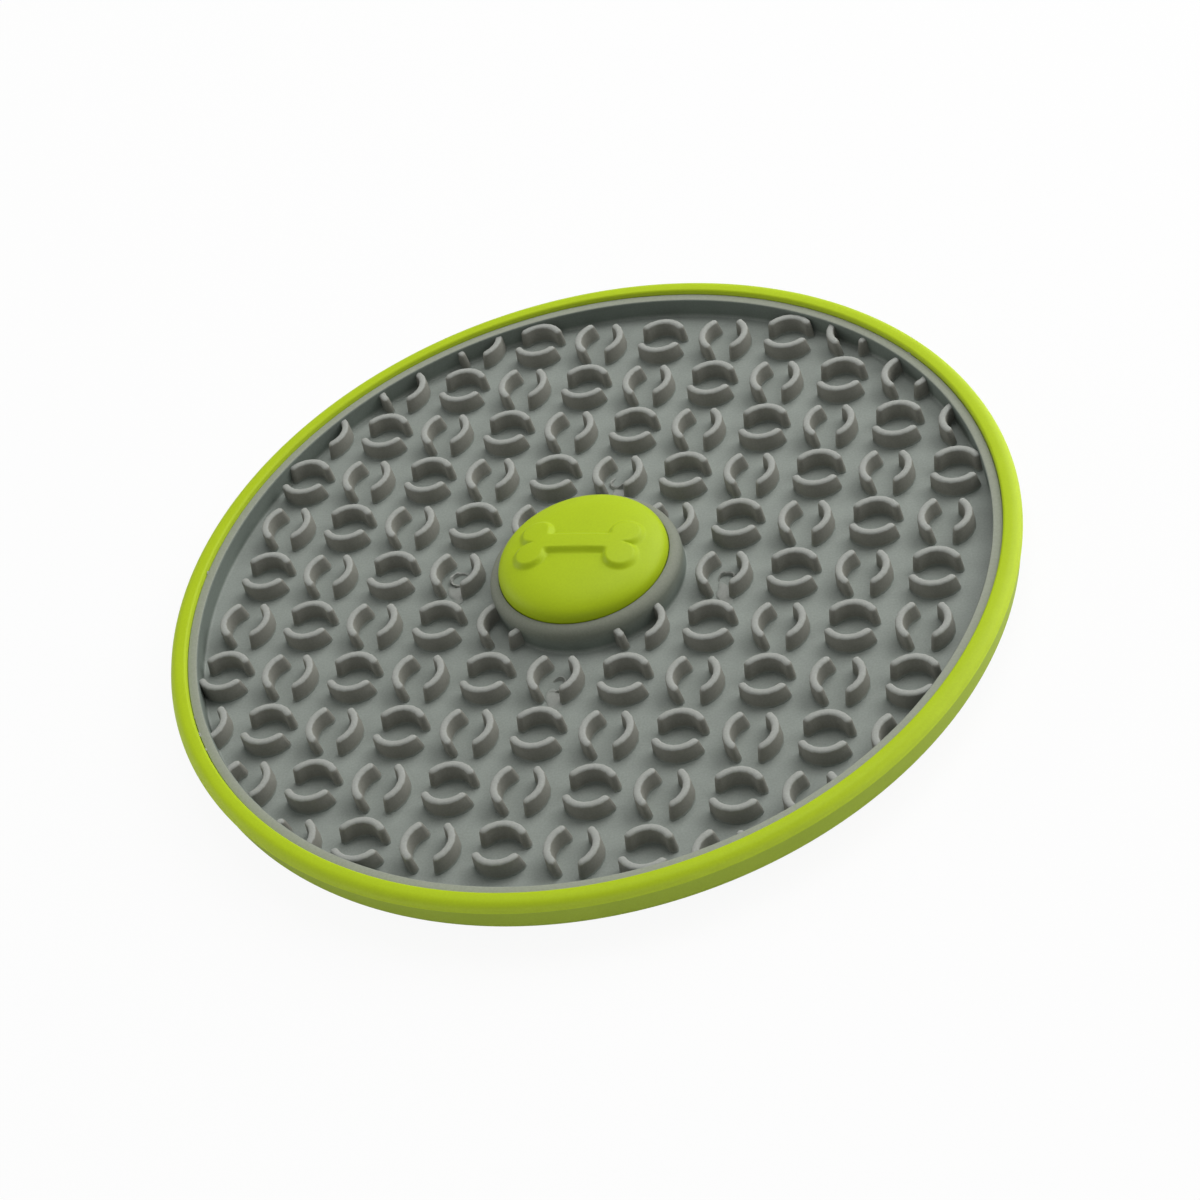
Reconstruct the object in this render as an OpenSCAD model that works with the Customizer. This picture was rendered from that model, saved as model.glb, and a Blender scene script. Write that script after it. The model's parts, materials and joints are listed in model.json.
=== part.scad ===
// Round lick mat: a soft pad with rows of split-ring ridges sits in a green tray,
// a green rim clamps it, and a press cap in the middle works the suction cup below.
// X runs along the rows of ridges, Z is up, and the mat stands on the plane z = 0.

/* [Rim] */
// Diameter of the whole mat, over the rim
mat_d = 180; // [150:1:216]
// Width of the rim, from its outside to the soft lip
rim_w = 3.8; // [3.2:0.1:4.6]
// Height of the rim ring
rim_h = 2.0; // [1.8:0.1:3.4]
// Height of the rim over the soft lip
rim_rise = 1.1; // [0.6:0.1:1.4]
// Radius of the rim's outer edge
rim_edge_r = 1.4; // [0.8:0.1:1.6]
// Radius of the rim's inner edge
rim_inner_edge_r = 0.6; // [0.3:0.1:0.8]

/* [Tray] */
// How far the tray's wall stands in from the rim's side
tray_inset = 1.0; // [0.4:0.1:1.2]
// Thickness of the tray's wall
tray_wall = 1.8; // [1.6:0.1:2.2]
// Thickness of the tray's floor
tray_floor = 1.4; // [1.2:0.1:2.2]
// Radius of the tray's lower outer edge
tray_edge_r = 1.9; // [1:0.1:2.6]
// Height of the tongue that seats in the rim
tongue_h = 0.8; // [0.5:0.1:0.9]
// Thickness of that tongue
tongue_w = 0.8; // [0.6:0.1:1]
// Number of stiffening ribs under the tray
rib_count = 12; // [6:1:18]
// Thickness of a rib
rib_w = 1.2; // [0.8:0.1:1.6]
// Depth of a rib below the tray's floor
rib_h = 1.2; // [0.8:0.1:1.6]

/* [Grip ring] */
// Height of the tray above the surface
foot_h = 3.0; // [2.6:0.1:5]
// Distance from the tray's side to the grip ring
foot_inset = 9; // [5:1:24]
// Width of the grip ring
foot_w = 6; // [4:0.5:8]
// Depth of the groove that holds the grip ring
foot_seat = 0.5; // [0.3:0.1:0.7]
// Radius of the grip ring's lower edges
foot_edge_r = 0.8; // [0.4:0.1:1.2]

/* [Pad] */
// Thickness of the pad's floor
pad_floor = 1.0; // [0.8:0.1:1.6]
// Width of the soft lip inside the rim
lip_w = 2.2; // [1.6:0.1:3.2]
// Height of the soft lip over the tips of the ridges
lip_rise = 0.65; // [0.2:0.05:1.2]
// Radius of the lip's edge
lip_edge_r = 0.4; // [0.2:0.1:0.6]
// Radius of the round at the foot of the pad's wall
well_foot_r = 0.4; // [0.2:0.1:0.8]

/* [Ridges] */
// Distance from one split ring to the next
pitch = 14.6; // [13.6:0.1:17]
// Height of a ridge
ridge_h = 4.0; // [3.4:0.1:5]
// Radius of the middle line of a ridge
ridge_r = 5.1; // [4.6:0.1:5.4]
// Distance from the ring's centre to the middle of each ridge
ridge_reach = 4.85; // [4.4:0.05:5.2]
// Half the angle that a ridge spans
ridge_half_angle = 62; // [50:1:66]
// Width of a ridge at its foot
ridge_foot_w = 1.8; // [1.5:0.1:2]
// Width of a ridge near its top
ridge_top_w = 1.55; // [1.3:0.05:1.8]
// Bevel along a ridge's top edges
ridge_bevel = 0.4; // [0.2:0.05:0.5]
// How far inside the pad's wall a ridge must reach to be left standing
ridge_stub = 1.4; // [1:0.1:2]
// Outer radius of a gate scar
scar_r = 1.9; // [1.4:0.1:2.4]
// Wall of a gate scar
scar_w = 0.5; // [0.4:0.1:0.7]
// Height of a gate scar
scar_h = 0.8; // [0.4:0.1:1.2]
// Number of rings from the middle of the mat to a gate scar
scar_rings = 2; // [2:1:4]
// Number of gate scars round the hub
scar_count = 4; // [2:2:4]

/* [Hub] */
// Outer radius of the hub's soft collar
hub_r = 20.4; // [19.8:0.1:23.6]
// Thickness of the collar
collar_w = 1.2; // [1:0.1:1.6]
// Height of the collar's inner edge over the tips of the ridges
hub_rise = 2.15; // [1.2:0.05:3]
// Drop of the collar's top from its inner to its outer edge
hub_slope = 0.2; // [0:0.05:0.4]
// Radius of the collar's upper edge
hub_edge_r = 2.0; // [0.6:0.1:2.1]
// Wall of the tower under the collar
tower_wall = 1.1; // [0.9:0.1:1.6]
// Thickness of the web across the tower
web_t = 1.2; // [1:0.1:1.6]

/* [Press cap] */
// Gap between the cap and the hub
cap_gap = 0.3; // [0.2:0.05:0.4]
// Height of the cap's dome over the seam
dome_h = 5.0; // [4:0.1:7]
// Exponent of the dome's curve, where 2 is an ellipse and more is squarer
dome_exponent = 2.6; // [2:0.1:3]
// Thickness of the cap
cap_wall = 1.6; // [1.2:0.1:2]
// Height of the cap's skirt below the seam
skirt_h = 0.85; // [0.5:0.05:1]
// Travel of the cap
press_travel = 3.0; // [2:0.1:3]
// Radius of the cap's stem
stem_r = 4.6; // [4:0.1:6]
// Gap between the stem and its guide in the web
stem_gap = 0.1; // [0.05:0.05:0.2]
// Height of the raised bone over the dome
bone_rise = 1.0; // [0.4:0.1:1.2]
// Distance between the knobs along the bone
bone_knob_span = 19.6; // [16:0.1:21]
// Distance between the knobs across the bone
bone_knob_gap = 6.6; // [5:0.1:7]
// Radius of a knob
bone_knob_r = 3.2; // [2.4:0.1:3.4]
// Width of the bone's shaft
bone_shaft_w = 4.6; // [3:0.1:5]

/* [Suction cup] */
// Radius of the cup's lip
cup_r = 32; // [28:0.5:36]
// Thickness of the cup's lip
cup_lip_t = 0.6; // [0.4:0.1:0.8]
// Height left in the hollow under the cup when the cap is pressed
hollow_spare = 0.4; // [0.2:0.1:0.6]
// Thickness of the cup at its shoulder
cup_wall = 1.3; // [1:0.1:1.5]
// Radius of the cup's boss
boss_r = 10; // [9.5:0.1:12]
// Width of the pull tab
tab_w = 10; // [8:0.5:14]
// Length of the pull tab beyond the lip
tab_l = 7; // [5:0.5:9]
// Thickness of the pull tab
tab_t = 0.9; // [0.8:0.1:1.2]

/* [Cup stem] */
// Radius of the flange that is moulded into the boss
flange_r = 8; // [7:0.1:8.5]
// Thickness of that flange
flange_t = 1.2; // [1:0.1:1.4]
// Radius of the peg in the cap's stem
peg_r = 2.4; // [2:0.1:2.8]
// Length of the peg above the flange
peg_l = 5; // [4:0.1:5.5]
// Gap between the peg and its socket
peg_gap = 0.05; // [0.02:0.01:0.1]
// Gap between the boss and the web at rest
rest_gap = 0.2; // [0.1:0.05:0.3]

/* [Hidden] */

$fn = 96;
// Angle between the points of a rounded corner
edge_step = 15;
// Angle between the points of a dome's curve
dome_step = 7.5;
// Angle between the places where a ridge is tested against the wall and the hub
ridge_check_step = 2;
// How far a cut runs past the face that it opens
overrun = 1;
// Gap between pieces that are put together
part_gap = 0.1;
// Gap between the suction cup's shoulder and the tray
cup_gap = 0.3;
// Gap from the ribs to the suction cup and to the grip ring
rib_gap = 1.2;
// Height of the cup's hollow at the boss's edge, as a share of its height in the middle
hollow_edge_share = 0.85;

green = [0.66, 0.78, 0.14];
grey = [0.52, 0.54, 0.53];

// Heights, from the surface up
tray_top = foot_h + tray_floor;
well_z = tray_top + pad_floor;
ridge_top = well_z + ridge_h;
lip_z = ridge_top + lip_rise;
rim_top = lip_z + rim_rise;
rim_z = rim_top - rim_h;
seam_z = ridge_top + hub_rise;
collar_top_z = seam_z - collar_w;
skirt_z = seam_z - skirt_h;
web_top = skirt_z - press_travel - part_gap;
web_z = web_top - web_t;
boss_top = web_z - rest_gap;
flange_z = boss_top - flange_t;
cup_hollow_h = press_travel + hollow_spare;

// Radii, from the outside in
mat_r = mat_d / 2;
tray_r = mat_r - tray_inset;
tray_in_r = tray_r - tray_wall;
lip_r = mat_r - rim_w;
well_r = lip_r - lip_w;
pad_r = tray_in_r - part_gap;
tongue_r = tray_r - (tray_wall - tongue_w) / 2;
tower_r = hub_r - collar_w;
hub_in_r = tower_r - tower_wall;
cap_r = hub_in_r - cap_gap;
foot_out_r = tray_r - foot_inset;
foot_in_r = foot_out_r - foot_w;
rib_in_r = cup_r + rib_gap;
rib_out_r = foot_in_r - rib_gap;

// Points of a round corner of radius r about a centre, from one angle to another
function corner(x, z, r, from, to) =
    [for (k = [0 : round(abs(to - from) / edge_step)])
        let (a = from + sign(to - from) * k * edge_step)
        [x + r * cos(a), z + r * sin(a)]];

// Half outline of a dome of base radius r and height h that stands on the seam
function dome_outline(r, h) =
    [for (t = [0 : dome_step : 90])
        [r * pow(cos(t), 2 / dome_exponent), seam_z + h * pow(sin(t), 2 / dome_exponent)]];

// A square-edged ring, from one radius to another and from one height to another
module band(from_r, to_r, from_z, to_z) {
    rotate_extrude()
        translate([from_r, from_z])
            square([to_r - from_r, to_z - from_z]);
}

module rim_ring() {
    color(green)
    difference() {
        rotate_extrude()
            polygon(concat(
                [[lip_r, rim_z], [mat_r, rim_z]],
                corner(mat_r - rim_edge_r, rim_top - rim_edge_r, rim_edge_r, 0, 90),
                corner(lip_r + rim_inner_edge_r, rim_top - rim_inner_edge_r, rim_inner_edge_r, 90, 180)));
        band(tongue_r - tongue_w - part_gap, tongue_r + part_gap,
             rim_z - overrun, rim_z + tongue_h + part_gap);
    }
}

// The tray's floor, wall, tongue and hub tower, as one turned outline
module tray_shell() {
    rotate_extrude()
        polygon(concat(
            [[hub_in_r, foot_h]],
            corner(tray_r - tray_edge_r, foot_h + tray_edge_r, tray_edge_r, 270, 360),
            [[tray_r, rim_z],
             [tongue_r, rim_z], [tongue_r, rim_z + tongue_h],
             [tongue_r - tongue_w, rim_z + tongue_h], [tongue_r - tongue_w, rim_z],
             [tray_in_r, rim_z], [tray_in_r, tray_top],
             [tower_r, tray_top], [tower_r, collar_top_z],
             [hub_in_r, collar_top_z]]));
}

// The web across the tower guides the cap's stem in its hole
module tray_web() {
    band(stem_r + stem_gap, hub_in_r + tower_wall / 2, web_z, web_top);
}

module tray_ribs() {
    band(rib_in_r, rib_in_r + rib_w, foot_h - rib_h, foot_h + tray_floor / 2);
    for (k = [0 : rib_count - 1])
        rotate([0, 0, (k + 0.5) * 360 / rib_count])
            translate([rib_in_r + rib_w / 2, -rib_w / 2, foot_h - rib_h])
                cube([rib_out_r - rib_in_r - rib_w / 2, rib_w, rib_h + tray_floor / 2]);
}

module tray() {
    color(green)
    difference() {
        union() {
            tray_shell();
            tray_web();
            tray_ribs();
        }
        band(foot_in_r - part_gap, foot_out_r + part_gap, foot_h - overrun, foot_h + foot_seat);
    }
}

// A torn ring left where the pad was filled from below
module gate_scar() {
    translate([0, 0, well_z - pad_floor / 2])
        difference() {
            cylinder(r = scar_r, h = scar_h + pad_floor / 2);
            translate([0, 0, pad_floor / 2])
                cylinder(r = scar_r - scar_w, h = scar_h + overrun);
        }
}

module lick_pad() {
    color(grey)
    union() {
        rotate_extrude()
            polygon(concat(
                [[tower_r, tray_top], [pad_r, tray_top], [pad_r, rim_z], [lip_r - part_gap, rim_z]],
                corner(lip_r - part_gap - lip_edge_r, lip_z - lip_edge_r, lip_edge_r, 0, 90),
                corner(well_r + lip_edge_r, lip_z - lip_edge_r, lip_edge_r, 90, 180),
                corner(well_r - well_foot_r, well_z + well_foot_r, well_foot_r, 360, 270),
                [[hub_r, well_z]],
                corner(hub_r - hub_edge_r, seam_z - hub_slope - hub_edge_r, hub_edge_r, 0, 90),
                [[hub_in_r, seam_z], [hub_in_r, collar_top_z], [tower_r, collar_top_z]]));
        for (k = [0 : scar_count - 1])
            rotate([0, 0, k * 360 / scar_count])
                translate([scar_rings * pitch, 0, 0])
                    gate_scar();
    }
}

// One ridge of the split ring about a cell's centre, on the side that points along a
module ridge(a) {
    rotate([0, 0, a])
        translate([ridge_reach - ridge_r, 0, well_z])
            rotate([0, 0, -ridge_half_angle])
                rotate_extrude(angle = 2 * ridge_half_angle)
                    polygon([
                        [ridge_r - ridge_foot_w / 2, 0],
                        [ridge_r + ridge_foot_w / 2, 0],
                        [ridge_r + ridge_top_w / 2, ridge_h - ridge_bevel],
                        [ridge_r + ridge_top_w / 2 - ridge_bevel, ridge_h],
                        [ridge_r - ridge_top_w / 2 + ridge_bevel, ridge_h],
                        [ridge_r - ridge_top_w / 2, ridge_h - ridge_bevel]]);
}

// How far the points of a ridge's middle line lie from the middle of the mat
function ridge_radii(i, j, a) =
    [for (t = [-ridge_half_angle : ridge_check_step : ridge_half_angle])
        norm([i * pitch + (ridge_reach - ridge_r) * cos(a) + ridge_r * cos(a + t),
              j * pitch + (ridge_reach - ridge_r) * sin(a) + ridge_r * sin(a + t)])];

// The space between the hub's collar and the pad's wall, over the pad's floor
module well_space() {
    rotate_extrude()
        polygon(concat(
            [[hub_r, well_z]],
            corner(well_r - well_foot_r, well_z + well_foot_r, well_foot_r, 270, 360),
            [[well_r, lip_z], [hub_r, lip_z]]));
}

// The ridges stand in rings split left and right, or front and back, by turns.
// The pad's wall and the hub's collar cut those that run into them.
module lick_ridges() {
    rows = ceil(well_r / pitch);
    clear_of_hub = hub_r + ridge_foot_w;
    clear_of_wall = well_r - ridge_foot_w - well_foot_r;
    color(grey)
    for (i = [-rows : rows], j = [-rows : rows], side = [0, 180]) {
        a = side + ((i + j) % 2 == 0 ? 0 : 90);
        radii = ridge_radii(i, j, a);
        nearest = min(radii);
        farthest = max(radii);
        if (nearest < well_r - ridge_stub && farthest > clear_of_hub) {
            if (farthest < clear_of_wall && nearest > clear_of_hub)
                translate([i * pitch, j * pitch, 0]) ridge(a);
            else
                intersection() {
                    translate([i * pitch, j * pitch, 0]) ridge(a);
                    well_space();
                }
        }
    }
}

module bone_outline() {
    square([bone_knob_span, bone_shaft_w], center = true);
    for (x = [-1, 1], y = [-1, 1])
        translate([x * bone_knob_span / 2, y * bone_knob_gap / 2])
            circle(r = bone_knob_r);
}

module dome_solid(r, h) {
    rotate_extrude()
        polygon(concat([[0, seam_z]], dome_outline(r, h)));
}

// The raised bone, which follows the dome and roots in the cap's wall
module cap_bone(root_z) {
    difference() {
        intersection() {
            dome_solid(cap_r, dome_h + bone_rise);
            translate([0, 0, root_z])
                linear_extrude(height = dome_h)
                    bone_outline();
        }
        dome_solid(cap_r - cap_wall / 2, dome_h - cap_wall / 2);
    }
}

module press_cap() {
    inner_r = cap_r - cap_wall;
    inner_h = dome_h - cap_wall;
    color(green)
    difference() {
        union() {
            difference() {
                union() {
                    dome_solid(cap_r, dome_h);
                    translate([0, 0, skirt_z])
                        cylinder(r = cap_r, h = skirt_h);
                }
                rotate_extrude()
                    polygon(concat([[0, skirt_z - overrun], [inner_r, skirt_z - overrun]],
                        dome_outline(inner_r, inner_h)));
            }
            translate([0, 0, boss_top])
                cylinder(r = stem_r, h = seam_z + inner_h + cap_wall / 2 - boss_top);
            cap_bone(seam_z + inner_h / 2);
        }
        translate([0, 0, boss_top - overrun])
            cylinder(r = peg_r + peg_gap, h = peg_l + part_gap + overrun);
    }
}

module cup_stem() {
    color("whitesmoke")
    union() {
        translate([0, 0, flange_z])
            cylinder(r = flange_r, h = flange_t);
        translate([0, 0, flange_z])
            cylinder(r = peg_r, h = flange_t + peg_l);
    }
}

module suction_cup() {
    shoulder_r = hub_in_r - part_gap;
    shoulder_z = foot_h - cup_gap;
    color("gray")
    union() {
        rotate_extrude()
            polygon([
                [0, cup_hollow_h],
                [boss_r, cup_hollow_h * hollow_edge_share],
                [shoulder_r, shoulder_z - cup_wall],
                [cup_r - cup_lip_t, 0],
                [cup_r, 0],
                [cup_r, cup_lip_t],
                [shoulder_r, shoulder_z],
                [boss_r, cup_hollow_h + cup_wall],
                [boss_r, boss_top],
                [flange_r, boss_top],
                [flange_r, flange_z],
                [0, flange_z]]);
        difference() {
            union() {
                translate([0, -tab_w / 2, part_gap])
                    cube([cup_r + tab_l - tab_w / 2, tab_w, tab_t]);
                translate([cup_r + tab_l - tab_w / 2, 0, part_gap])
                    cylinder(r = tab_w / 2, h = tab_t);
            }
            cylinder(r = cup_r - cup_lip_t, h = foot_h);
        }
    }
}

module grip_ring() {
    color(grey)
    rotate_extrude()
        polygon(concat(
            [[foot_out_r, foot_h + foot_seat], [foot_in_r, foot_h + foot_seat]],
            corner(foot_in_r + foot_edge_r, foot_edge_r, foot_edge_r, 180, 270),
            corner(foot_out_r - foot_edge_r, foot_edge_r, foot_edge_r, 270, 360)));
}

rim_ring();
tray();
lick_pad();
lick_ridges();
press_cap();
cup_stem();
suction_cup();
grip_ring();
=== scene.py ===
# %% [markdown]
# # A round lick mat
# A lick mat is a shallow dish that a pet licks soft food from. A grey rubber pad with rows of
# split rings sits in a lime green tray, a green rim clamps its edge, and a green press cap in
# the middle works a suction cup underneath. Nearly every piece is round, as it is when it
# comes out of a turned mould, so most of them start as a small section that is spun.

# %% Load the part that the looks are built on
import json
import math

import bmesh
import bpy
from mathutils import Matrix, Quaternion, Vector, noise


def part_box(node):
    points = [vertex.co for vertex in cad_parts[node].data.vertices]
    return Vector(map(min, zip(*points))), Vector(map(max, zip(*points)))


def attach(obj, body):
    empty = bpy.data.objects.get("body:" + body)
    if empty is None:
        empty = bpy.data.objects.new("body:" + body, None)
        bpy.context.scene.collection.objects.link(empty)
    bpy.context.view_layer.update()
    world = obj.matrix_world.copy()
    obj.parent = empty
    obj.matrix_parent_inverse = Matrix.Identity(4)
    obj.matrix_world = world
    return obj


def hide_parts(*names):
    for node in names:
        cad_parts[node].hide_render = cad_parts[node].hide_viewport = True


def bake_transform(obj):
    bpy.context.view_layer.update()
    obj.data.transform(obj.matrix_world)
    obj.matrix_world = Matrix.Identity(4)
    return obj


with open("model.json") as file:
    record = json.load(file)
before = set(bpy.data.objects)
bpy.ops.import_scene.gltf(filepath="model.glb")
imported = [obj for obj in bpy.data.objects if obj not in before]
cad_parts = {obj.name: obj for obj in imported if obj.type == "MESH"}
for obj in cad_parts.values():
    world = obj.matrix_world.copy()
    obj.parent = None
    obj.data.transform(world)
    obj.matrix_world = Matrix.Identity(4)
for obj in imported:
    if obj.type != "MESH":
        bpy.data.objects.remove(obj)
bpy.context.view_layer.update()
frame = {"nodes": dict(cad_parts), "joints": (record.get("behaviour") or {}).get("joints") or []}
MM = 0.001

# %% [markdown]
# The camera comes first, so that every later choice can be judged in the picture. The mat was
# photographed from above its near side, a little from the right, with the camera held aslant. So
# the camera is placed, aimed at a spot on the table, and then rolled about its line of sight.

# %% Place the camera
CAMERA_PLACE = Vector((0.1905, -0.38248, 0.39593))
CAMERA_AIM = Vector((0.00078, -0.00032, 0.0))
CAMERA_ROLL = math.radians(-18.84)
CAMERA_LENS = 83.72

bpy.ops.object.camera_add(location=CAMERA_PLACE)
camera = bpy.context.object
camera.name = "photo_camera"
camera.rotation_mode = "QUATERNION"
level = (CAMERA_AIM - CAMERA_PLACE).to_track_quat("-Z", "Y")
camera.rotation_quaternion = level @ Quaternion((0, 0, 1), CAMERA_ROLL)
camera.data.lens = CAMERA_LENS
camera.data.clip_start = 0.01
bpy.context.scene.camera = camera
print("The camera stands", round((CAMERA_AIM - CAMERA_PLACE).length / MM), "mm away")

# %% [markdown]
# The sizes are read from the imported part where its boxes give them, so that the looks can't
# drift away from the construction. The rest are the sizes of walls and edges inside a piece.

# %% Read the sizes of the part
rim_low, rim_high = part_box("rim_ring")
tray_low, tray_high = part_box("tray")
pad_low, pad_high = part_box("lick_pad")
ridges_low, ridges_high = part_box("lick_ridges")
cap_low, cap_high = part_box("press_cap")
stem_low, stem_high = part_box("cup_stem")
cup_low, cup_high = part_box("suction_cup")
grip_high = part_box("grip_ring")[1]

mat_r = min(*rim_high.xy, *-rim_low.xy)
rim_top = rim_high.z
rim_z = rim_low.z
tray_r = tray_high.x
tray_top = pad_low.z
pad_r = pad_high.x
well_z = ridges_low.z
ridge_top = ridges_high.z
seam_z = pad_high.z
cap_r = cap_high.x
boss_top = cap_low.z
cup_r = -cup_low.x
grip_out_r = grip_high.x
print("The pad's floor is", round(well_z / MM, 2), "mm up and the rim's top", round(rim_top / MM, 2))

# %% Sizes of walls, edges and gaps
part_gap = 0.1 * MM
rim_w = 3.8 * MM
tray_wall = 1.8 * MM
tongue_h = 0.8 * MM
tongue_w = 0.8 * MM
lip_w = 2.2 * MM
lip_rise = 0.65 * MM
hub_r = 20.4 * MM
collar_w = 1.2 * MM
tower_wall = 1.1 * MM
stem_r = 4.6 * MM

lip_r = mat_r - rim_w
well_r = lip_r - lip_w
lip_z = ridge_top + lip_rise
tray_in_r = tray_r - tray_wall
tower_r = hub_r - collar_w
hub_in_r = tower_r - tower_wall
collar_z = seam_z - collar_w
tongue_r = tray_r - (tray_wall - tongue_w) / 2
print("The well is", round(2 * well_r / MM, 1), "mm across")

# %% [markdown]
# A turned piece starts as its section: a closed outline that stands on the XZ plane. One point
# is drawn out from corner to corner by extruding, the outline is filled, and its corners are
# rounded by bevelling their points. Then the section is spun round the mat's axis. A lathe
# modifier would do the same, but the spin leaves a plain mesh that can be cut and joined.

# %% Draw an outline on the XZ plane
TURN_STEPS = 288
CORNER_REACH = 0.01 * MM
MERGE_REACH = 0.002 * MM


def deselect_all():
    """Goes to object mode, with nothing selected."""
    if bpy.context.mode != "OBJECT":
        bpy.ops.object.mode_set(mode="OBJECT")
    bpy.ops.object.select_all(action="DESELECT")


def pick(*pieces):
    """Selects these pieces only, and makes the first one active."""
    deselect_all()
    for piece in pieces:
        piece.select_set(True)
    bpy.context.view_layer.objects.active = pieces[0]


def name_piece(name):
    """Names the active piece and its mesh."""
    piece = bpy.context.object
    piece.name = name
    piece.data.name = name
    return piece


def draw_line(name, corners):
    """Extrudes one point from corner to corner on the XZ plane, and stays in edit mode."""
    deselect_all()
    bpy.ops.mesh.primitive_plane_add(size=MM)
    piece = name_piece(name)
    bpy.ops.object.mode_set(mode="EDIT")
    bpy.ops.mesh.select_mode(type="VERT")
    bpy.ops.mesh.merge(type="CENTER")
    here = Vector((corners[0][0], 0, corners[0][1]))
    bpy.ops.transform.translate(value=here)
    for x, z in corners[1:]:
        there = Vector((x, 0, z))
        bpy.ops.mesh.extrude_region_move(TRANSFORM_OT_translate={"value": there - here})
        here = there
    return piece


def draw_section(name, corners):
    """Draws a closed outline and fills it."""
    piece = draw_line(name, corners)
    bpy.ops.mesh.select_all(action="SELECT")
    bpy.ops.mesh.edge_face_add()
    return piece


# %% Round the corners of a section, and turn it
def select_points(piece, wanted):
    """Selects those points of a piece in edit mode for which wanted(place) is true."""
    mesh = bmesh.from_edit_mesh(piece.data)
    for element in (*mesh.faces, *mesh.edges, *mesh.verts):
        element.select_set(False)
    for point in mesh.verts:
        if wanted(point.co):
            point.select_set(True)
    mesh.select_flush_mode()
    bmesh.update_edit_mesh(piece.data)


def round_corner(piece, x, z, radius, steps=5):
    """Rounds the corner of a section at x and z."""
    corner = Vector((x, 0, z))
    select_points(piece, lambda place: (place - corner).length < CORNER_REACH)
    bpy.ops.mesh.bevel(offset=radius, segments=steps, affect="VERTICES", profile=0.5)


def close_up():
    """Merges points that meet, turns the faces outwards and goes back to object mode."""
    bpy.ops.mesh.select_all(action="SELECT")
    bpy.ops.mesh.remove_doubles(threshold=MERGE_REACH)
    bpy.ops.mesh.normals_make_consistent(inside=False)
    bpy.ops.object.mode_set(mode="OBJECT")


def spin(steps, angle):
    """Spins the drawn outline through an angle about the mat's axis, without its face."""
    bpy.ops.mesh.select_all(action="SELECT")
    bpy.ops.mesh.delete(type="ONLY_FACE")
    bpy.ops.mesh.select_all(action="SELECT")
    bpy.ops.mesh.spin(steps=steps, angle=angle, center=(0, 0, 0), axis=(0, 0, 1))


def turn(steps=TURN_STEPS):
    """Spins the drawn outline once round."""
    spin(steps, 2 * math.pi)
    close_up()


def smooth(piece, angle=35):
    """Shades the piece smooth, apart from edges sharper than this angle in degrees."""
    pick(piece)
    bpy.ops.object.shade_smooth_by_angle(angle=math.radians(angle))
    print(piece.name, "has", len(piece.data.polygons), "faces")


def place_piece(piece, body, node):
    """Lets the piece ride on a body, and hides the node that it stands for."""
    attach(piece, body)
    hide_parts(node)


# %% [markdown]
# The rim is a green ring that clamps the pad's edge. Its top is flat and a little higher than
# the pad's lip, and a groove underneath takes the tray's tongue. Outside, it falls in a flat
# curve to a fine bead, which draws the light line over the tray's tier. Bevelled corners on the
# section give the same rounds all the way round the ring.

# %% Turn the rim
groove_in_r = tongue_r - tongue_w - part_gap
groove_out_r = tongue_r + part_gap
groove_top = rim_z + tongue_h + part_gap
BEAD_H = 0.5 * MM
BEAD_DEPTH = 0.2 * MM
CURVE_W = 2.0 * MM
CURVE_STEPS = 10
side_r = mat_r - BEAD_DEPTH
curve_h = rim_top - rim_z - BEAD_H
curve_angles = [math.radians(90) * step / CURVE_STEPS for step in range(CURVE_STEPS + 1)]
outer_curve = [(side_r - CURVE_W * (1 - math.cos(angle)), rim_z + BEAD_H + curve_h * math.sin(angle))
               for angle in curve_angles]
rim = draw_section("rim", [
    (lip_r, rim_z), (groove_in_r, rim_z), (groove_in_r, groove_top), (groove_out_r, groove_top),
    (groove_out_r, rim_z), (mat_r, rim_z), (mat_r, rim_z + BEAD_H / 2), *outer_curve,
    (lip_r, rim_top)])
round_corner(rim, lip_r, rim_top, 0.6 * MM)
round_corner(rim, mat_r, rim_z, 0.12 * MM, steps=3)
round_corner(rim, mat_r, rim_z + BEAD_H / 2, 0.1 * MM, steps=3)
turn()
smooth(rim)
place_piece(rim, "base", "rim_ring")

# %% [markdown]
# The tray holds everything. Its wall stands in a millimetre from the rim's side, which gives
# the edge of the mat its two tiers. Inside, a tower carries the pad's collar, and a thin web
# across the tower guides the press cap. Underneath there is a groove for the grip ring, and a
# ring rib with twelve straight ones that keep the floor flat.

# %% Turn the tray
RIB_H = 1.2 * MM
RIB_W = 1.2 * MM
RIB_GAP = 1.2 * MM
GRIP_W = 6.0 * MM
GRIP_SEAT = 0.5 * MM
WEB_T = 1.2 * MM
tray_z = tray_low.z + RIB_H
web_z = boss_top + 0.2 * MM
hole_r = stem_r + 0.1 * MM
rib_in_r = cup_r + RIB_GAP
rib_out_r = grip_out_r - GRIP_W - RIB_GAP
seat_in_r = grip_out_r - GRIP_W - part_gap
seat_out_r = grip_out_r + part_gap

tray = draw_section("tray_body", [
    (hub_in_r, tray_z), (rib_in_r, tray_z), (rib_in_r, tray_low.z), (rib_in_r + RIB_W, tray_low.z),
    (rib_in_r + RIB_W, tray_z), (seat_in_r, tray_z), (seat_in_r, tray_z + GRIP_SEAT),
    (seat_out_r, tray_z + GRIP_SEAT), (seat_out_r, tray_z), (tray_r, tray_z), (tray_r, rim_z),
    (tongue_r, rim_z), (tongue_r, rim_z + tongue_h), (tongue_r - tongue_w, rim_z + tongue_h),
    (tongue_r - tongue_w, rim_z), (tray_in_r, rim_z), (tray_in_r, tray_top), (tower_r, tray_top),
    (tower_r, collar_z), (hub_in_r, collar_z), (hub_in_r, web_z + WEB_T), (hole_r, web_z + WEB_T),
    (hole_r, web_z), (hub_in_r, web_z)])
round_corner(tray, tray_r, tray_z, 1.9 * MM, steps=9)
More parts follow.
